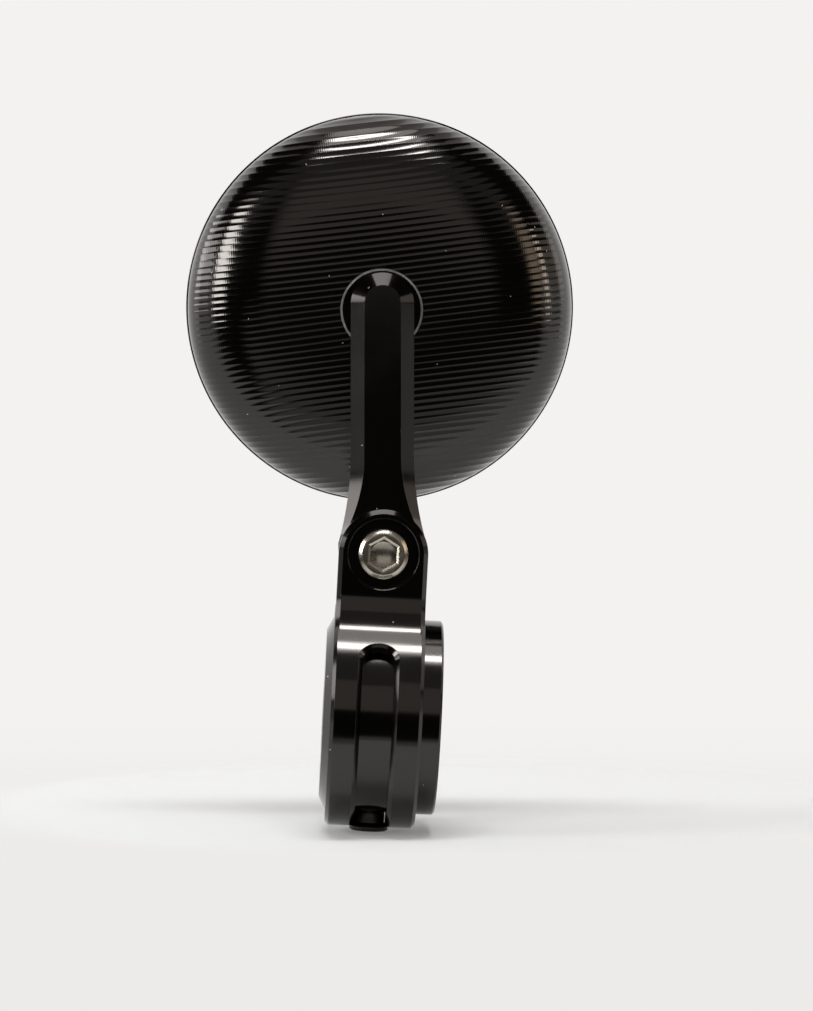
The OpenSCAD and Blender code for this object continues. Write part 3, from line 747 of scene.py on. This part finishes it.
class BracketOperator(bpy.types.Operator):
    """Build the clamp bracket with its neck, slot and counterbore"""
    bl_idname = "bar_mirror.bracket"
    bl_label = "Clamp bracket"

    def execute(self, context):
        s = context.scene.mirror_bracket
        r, w, c = s.ring_radius, s.ring_width / 2, s.ring_edge
        piece = turned("clamp_bracket_fine", [
            (s.bore, -w), (r - c, -w), (r, -w + c), (r, w - c), (r - c, w), (s.bore, w)], 320, "X")
        half, e = s.neck_width / 2, s.neck_edge
        front, back = NECK_FRONT, NECK_BACK
        root, lap = 9.2 * MM, 0.2 * MM
        section = [(-half, back), (half, back), (half, front + e), (half - e, front),
                   (e - half, front), (-half, front + e)]
        plate = loft("plate", [[(x, y, z) for x, y in section] for z in (root, PIVOT.z)])
        cap = turned("cap", [(0, front), (half - e, front), (half, front + e), (half, back),
                             (0, back)], 320)
        cap.data.transform(Matrix.Translation(PIVOT))
        combine(plate, cap, "UNION")
        combine(plate, turned("hollow", [
            (0, -r), (s.bore + lap, -r), (s.bore + lap, r), (0, r)], 320, "X"), "DIFFERENCE")
        combine(piece, plate, "UNION")
        combine(piece, self.fillet(s, front), "UNION")
        for cutter in self.slot(s) + [self.counterbore(s, front, back)]:
            combine(piece, cutter, "DIFFERENCE")
        finish_piece(piece, "bracket", anodised_aluminium(),
                     ["clamp_bracket"], sharp=20)
        return {"FINISHED"}

    def fillet(self, s, front):
        """The fillet from the neck to the ring; the cutter's flared ends chamfer its edges."""
        f, r, half, e = s.neck_fillet, s.ring_radius, s.neck_width / 2, s.neck_edge
        cy = front - f
        cz = math.sqrt((r + f) ** 2 - cy ** 2)
        touch = r / (r + f)
        outline = [(front, cz), (cy * touch, cz * touch), (front + MM, cz * touch - MM),
                   (front + MM, cz)]
        block = loft("fillet", [[(x, y, z) for y, z in outline] for x in (-half, half)])
        flare, reach = f + e + MM, half + MM
        cutter = turned("cutter", [(0, -reach), (flare, -reach), (f, e - half), (f, half - e),
                                   (flare, reach), (0, reach)], 720, "X")
        cutter.data.transform(Matrix.Translation((0, cy, cz)))
        combine(block, cutter, "DIFFERENCE")
        return block

    def slot(self, s):
        """The slot's sweep and its round ends."""
        r, half, e = s.ring_radius, s.slot_width / 2, s.slot_edge
        inner, foot, out = s.bore - MM, r - e, r + MM
        flare = half + e + MM
        profile = [(inner, -half), (foot, -half), (out, -flare), (out, flare), (foot, half),
                   (inner, half)]
        steps = 180
        turns = [math.radians(s.slot_start - s.slot_arc * i / steps) for i in range(steps + 1)]
        sweep = loft("sweep", [[(x, -d * math.cos(a), d * math.sin(a)) for d, x in profile]
                               for a in turns])
        cutters = [sweep]
        for a in (s.slot_start, s.slot_start - s.slot_arc):
            end = turned("end", [(0, inner), (half, inner), (half, foot), (flare, out),
                                 (0, out)], 96)
            end.data.transform(Matrix.Rotation(math.radians(180 - a), 4, "X"))
            cutters.append(end)
        return cutters

    def counterbore(self, s, front, back):
        """The pivot's hole, the counterbore and its small chamfer."""
        b, edge, hole = s.counterbore, 0.2 * MM, 3.2 * MM
        obj = turned("counterbore", [
            (0, front - MM), (b + edge + MM, front - MM), (b, front + edge), (b, SCREW_SEAT),
            (hole, SCREW_SEAT), (hole, back + MM), (0, back + MM)], 192)
        obj.data.transform(Matrix.Translation(PIVOT))
        return obj


class InsertOperator(bpy.types.Operator):
    """Build the insert in the clamp ring and finish its screw"""
    bl_idname = "bar_mirror.insert"
    bl_label = "Bar end insert"

    def execute(self, context):
        s = context.scene.mirror_bracket
        r, outer = s.insert_radius, -s.ring_width / 2
        nose, inner, bevel = outer - s.insert_cone, s.ring_width / 2 + s.insert_reach, 0.4 * MM
        step = nose + s.bolt_depth
        piece = turned("insert_fine", [
            (s.bolt_head, nose), (s.insert_nose, nose), (r, outer), (r, inner - bevel),
            (r - bevel, inner), (s.bolt_bore, inner), (s.bolt_bore, step),
            (s.bolt_head, step)], 320, "X")
        screw_hole, hole_end, beyond = 2.52 * MM, 10.15 * MM, 24 * MM
        hole = rod("hole", screw_hole, hole_end, beyond)
        hole.data.transform(Matrix.Rotation(math.radians(270), 4, "X"))
        combine(piece, hole, "DIFFERENCE")
        finish_piece(piece, "insert", anodised_aluminium(), ["bar_end_insert"])
        coat_node("clamp_screw", black_oxide())
        return {"FINISHED"}


# Studio

# Each lamp's azimuth right of the camera and elevation, in degrees, its radiance as a multiple
# of the softbox setting, and its tint. The overhead lamps give the bright bands across the dome,
# fillet and ring. The softboxes and strips at the sides give the bright dots down both sides of
# the rows. The weak ones give the greys, and what no lamp fills stays a black band.
LAMPS = (
    ("overhead_softbox", (-24, 10), (69, 98), 0.54, "#ffffff"),
    ("overhead_core", (-20, 12), (73, 81), 4.4, "#ffffff"),
    ("ceiling_bounce", (-27, 27), (98, 150), 0.11, "#fff6ee"),
    ("front_ceiling", (-60, 60), (38, 68), 0.032, "#fff8f2"),
    ("front_wall", (-28, 28), (6, 37), 0.075, "#fff8f2"),
    ("low_card", (-36, 68), (-52, -24), 0.075, "#ffffff"),
    ("left_softbox", (-80, -63), (5, 30), 2.4, "#ffffff"),
    ("left_strip", (-132, -88), (9, 25), 0.75, "#ffffff"),
    ("right_softbox", (62, 76), (5, 26), 0.36, "#ffe6cc"),
    ("right_strip", (79, 86), (5, 19), 1.2, "#fff0e0"),
    ("right_haze", (88, 132), (9, 25), 0.13, "#fff2e6"),
    ("left_wall", (-125, -76), (-16, 6), 0.07, "#ffffff"),
    ("right_wall", (76, 125), (-16, 6), 0.07, "#ffffff"),
)


def plane(name, corners):
    """A flat piece between four corners."""
    return mesh_object(name, corners, [(0, 1, 2, 3)])


class StageOperator(bpy.types.Operator):
    """Set the camera, the paper floor and backdrop, and the softboxes"""
    bl_idname = "bar_mirror.stage"
    bl_label = "Studio"

    def execute(self, context):
        s = context.scene.mirror_studio
        yaw, roll = math.radians(s.yaw), math.radians(s.roll)
        back = Vector((-math.sin(yaw), -math.cos(yaw), 0))
        level = Vector((math.cos(yaw), -math.sin(yaw), 0))
        up = math.cos(roll) * Vector((0, 0, 1)) - math.sin(roll) * level
        right = math.cos(roll) * level + math.sin(roll) * Vector((0, 0, 1))
        ahead = -13 * MM
        aim = PIVOT + Vector((0, ahead, 0))
        eye = aim + s.distance * back + s.aside * right + s.above * up
        camera = bpy.data.cameras.new("studio_camera")
        camera.lens = s.lens / MM
        camera.sensor_width = 36
        camera.clip_start, camera.clip_end = 0.01, 20
        view = bpy.data.objects.new("studio_camera", camera)
        context.scene.collection.objects.link(view)
        view.matrix_world = Matrix((right, up, back)).transposed().to_4x4()
        view.matrix_world.translation = eye
        context.scene.camera = view
        self.axes = right, up, back
        standing = ("clamp_bracket", "bar_end_insert", "clamp_screw")
        self.floor_level = min(v.co.dot(up) for n in standing
                               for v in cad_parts[n].data.vertices)
        self.paper_stage(s)
        for name, azimuth, elevation, times, tint in LAMPS:
            self.softbox(name, azimuth, elevation, times * s.softbox, tint)
        scene = context.scene
        scene.view_settings.view_transform = "Standard"
        world = scene.world or bpy.data.worlds.new("studio_dark")
        scene.world = world
        world.use_nodes = True
        self.room(world.node_tree, s)
        return {"FINISHED"}

    def room(self, tree, s):
        """A dark room round the set; only the camera sees it as pale as the paper."""
        eye = add_node(tree, "ShaderNodeLightPath").outputs["Is Camera Ray"]
        dark = tree.nodes["Background"]
        dark.inputs["Color"].default_value = s.room
        # In front, where the floor ends, the camera sees the near paper's painted shade
        pale = add_node(tree, "ShaderNodeBackground", {"Color": s.near_paper_shade}).outputs[0]
        mix = add_node(tree, "ShaderNodeMixShader", {0: eye, 1: dark.outputs[0], 2: pale})
        tree.links.new(mix.outputs[0], tree.nodes["World Output"].inputs["Surface"])

    def at(self, x, y, z):
        """A place given along the camera's right, up and forward, from the ring's centre."""
        right, up, back = self.axes
        return x * right + y * up - z * back

    def paper_stage(self, s):
        """The paper floor and backdrop."""
        f = self.floor_level

        def build(tree, shader):
            shader.inputs["Base Color"].default_value = s.floor
            shader.inputs["Roughness"].default_value = 0.9
            rounded_bump(tree, shader, [(noise(tree, 1.5 * MM, 4), 8e-6)], 0)
        near, far, side, top = -s.floor_near, 0.9, 2.5, 1.3
        floor = plane("paper_floor", [self.at(-side, f, near), self.at(side, f, near),
                                      self.at(side, f, far), self.at(-side, f, far)])
        wall = plane("paper_backdrop", [self.at(-side, f, far), self.at(side, f, far),
                                        self.at(side, f + top, far), self.at(-side, f + top, far)])
        for piece, share_shaded in ((floor, s.shade), (wall, 0.0)):
            piece.data.materials.append(material_for("studio_paper_" + piece.name, build))
            self.pale(piece.data.materials[0], s, share_shaded)

    def pale(self, material, s, share_shaded):
        """The paper glows in its colour, with painted shade that darkens the near floor and fades out
        behind; round the mirror it keeps the real shadow on it.

        The part that keeps it ends in front where the floor ends."""
        tree = material.node_tree
        shader = tree.nodes["Principled BSDF"]
        path = add_node(tree, "ShaderNodeLightPath").outputs
        seen = path["Is Camera Ray"]
        for kind in ("Is Glossy Ray", "Is Transmission Ray"):
            seen = add_node(tree, "ShaderNodeMath", {0: seen, 1: path[kind]},
                            operation="MAXIMUM").outputs[0]
        place = add_node(tree, "ShaderNodeTexCoord").outputs["Object"]
        away = add_node(tree, "ShaderNodeVectorMath", {0: place, 1: -self.axes[2]},
                        operation="DOT_PRODUCT").outputs["Value"]
        far = add_node(tree, "ShaderNodeMapRange", {
            "Value": away, "From Min": -s.floor_near, "From Max": s.paper_fade},
            interpolation_type="SMOOTHSTEP").outputs[0]
        # Painted shade: the glow is darker near the camera and fades to the plain paper behind
        tone = add_node(tree, "ShaderNodeMix", {"Factor": far, 6: s.near_paper_shade, 7: s.paper},
                        data_type="RGBA").outputs[2]
        glow = add_node(tree, "ShaderNodeEmission", {"Color": tone, "Strength": 1.0}).outputs[0]
        local = add_node(tree, "ShaderNodeMapping", {
            "Vector": place, "Scale": [s.shade_reach] * 3,
            "Location": self.at(12 * MM, self.floor_level, s.shade_reach - s.floor_near)},
            vector_type="TEXTURE").outputs["Vector"]
        near = add_node(tree, "ShaderNodeTexGradient", {"Vector": local},
                        gradient_type="QUADRATIC_SPHERE").outputs["Fac"]
        soft_edge = 0.05
        shaded = add_node(tree, "ShaderNodeMapRange", {
            "Value": near, "From Min": 0.0, "From Max": soft_edge, "To Min": 1.0,
            "To Max": 1 - share_shaded}, interpolation_type="SMOOTHSTEP").outputs["Result"]
        plain = add_node(tree, "ShaderNodeMath", {0: seen, 1: shaded},
                         operation="MULTIPLY").outputs[0]
        mix = add_node(tree, "ShaderNodeMixShader", {0: plain, 1: shader.outputs[0], 2: glow})
        tree.links.new(mix.outputs[0], tree.nodes["Material Output"].inputs["Surface"])

    def softbox(self, name, azimuth, elevation, radiance, tint):
        """An area lamp round the mirror that fills a range of azimuth and elevation."""
        away, target = 1.6, self.at(0, 0.045, 0)
        turn, lift = math.radians(sum(azimuth) / 2), math.radians(sum(elevation) / 2)
        right, up, back = self.axes
        side = math.cos(turn) * right - math.sin(turn) * back
        level = math.sin(turn) * right + math.cos(turn) * back
        towards = math.cos(lift) * level + math.sin(lift) * up
        light = bpy.data.lights.new(name, "AREA")
        light.shape = "RECTANGLE"
        light.size = 2 * away * math.tan(math.radians(azimuth[1] - azimuth[0]) / 2)
        light.size_y = 2 * away * math.tan(math.radians(elevation[1] - elevation[0]) / 2)
        light.color = linear(tint)[:3]
        light.energy = radiance * math.pi * light.size * light.size_y
        obj = bpy.data.objects.new(name, light)
        bpy.context.scene.collection.objects.link(obj)
        obj.matrix_world = Matrix((side, towards.cross(side), towards)).transposed().to_4x4()
        obj.matrix_world.translation = target + away * towards
        obj.visible_camera = False


class MirrorPanel(bpy.types.Panel):
    """The sizes and finishes of the bar end mirror"""
    bl_label = "Bar end mirror"
    bl_idname = "VIEW3D_PT_bar_mirror"
    bl_space_type = "VIEW_3D"
    bl_region_type = "UI"
    bl_category = "Bar end mirror"

    def draw(self, context):
        for operator in OPERATORS:
            self.layout.operator(operator.bl_idname)
        for name, group in GROUPS.items():
            box = self.layout.box()
            box.label(text=group.__doc__)
            for prop in group.__annotations__:
                box.prop(getattr(context.scene, name), prop)


GROUPS = {"mirror_finishes": FinishSettings, "mirror_head": HeadSettings, "mirror_arm": ArmSettings,
          "mirror_bracket": BracketSettings, "mirror_studio": StudioSettings}
OPERATORS = (StageOperator, HousingOperator, GlassOperator, BallJointOperator, ArmOperator,
             PivotOperator, BracketOperator, InsertOperator)


def register():
    for group in GROUPS.values():
        bpy.utils.register_class(group)
    for name, group in GROUPS.items():
        setattr(bpy.types.Scene, name, PointerProperty(type=group))
    for operator in OPERATORS:
        bpy.utils.register_class(operator)
    bpy.utils.register_class(MirrorPanel)


def unregister():
    bpy.utils.unregister_class(MirrorPanel)
    for operator in reversed(OPERATORS):
        bpy.utils.unregister_class(operator)
    for name, group in GROUPS.items():
        delattr(bpy.types.Scene, name)
        bpy.utils.unregister_class(group)


def main():
    register()
    for operator in OPERATORS:
        group, name = operator.bl_idname.split(".")
        getattr(getattr(bpy.ops, group), name)()


if __name__ == "__main__":
    main()
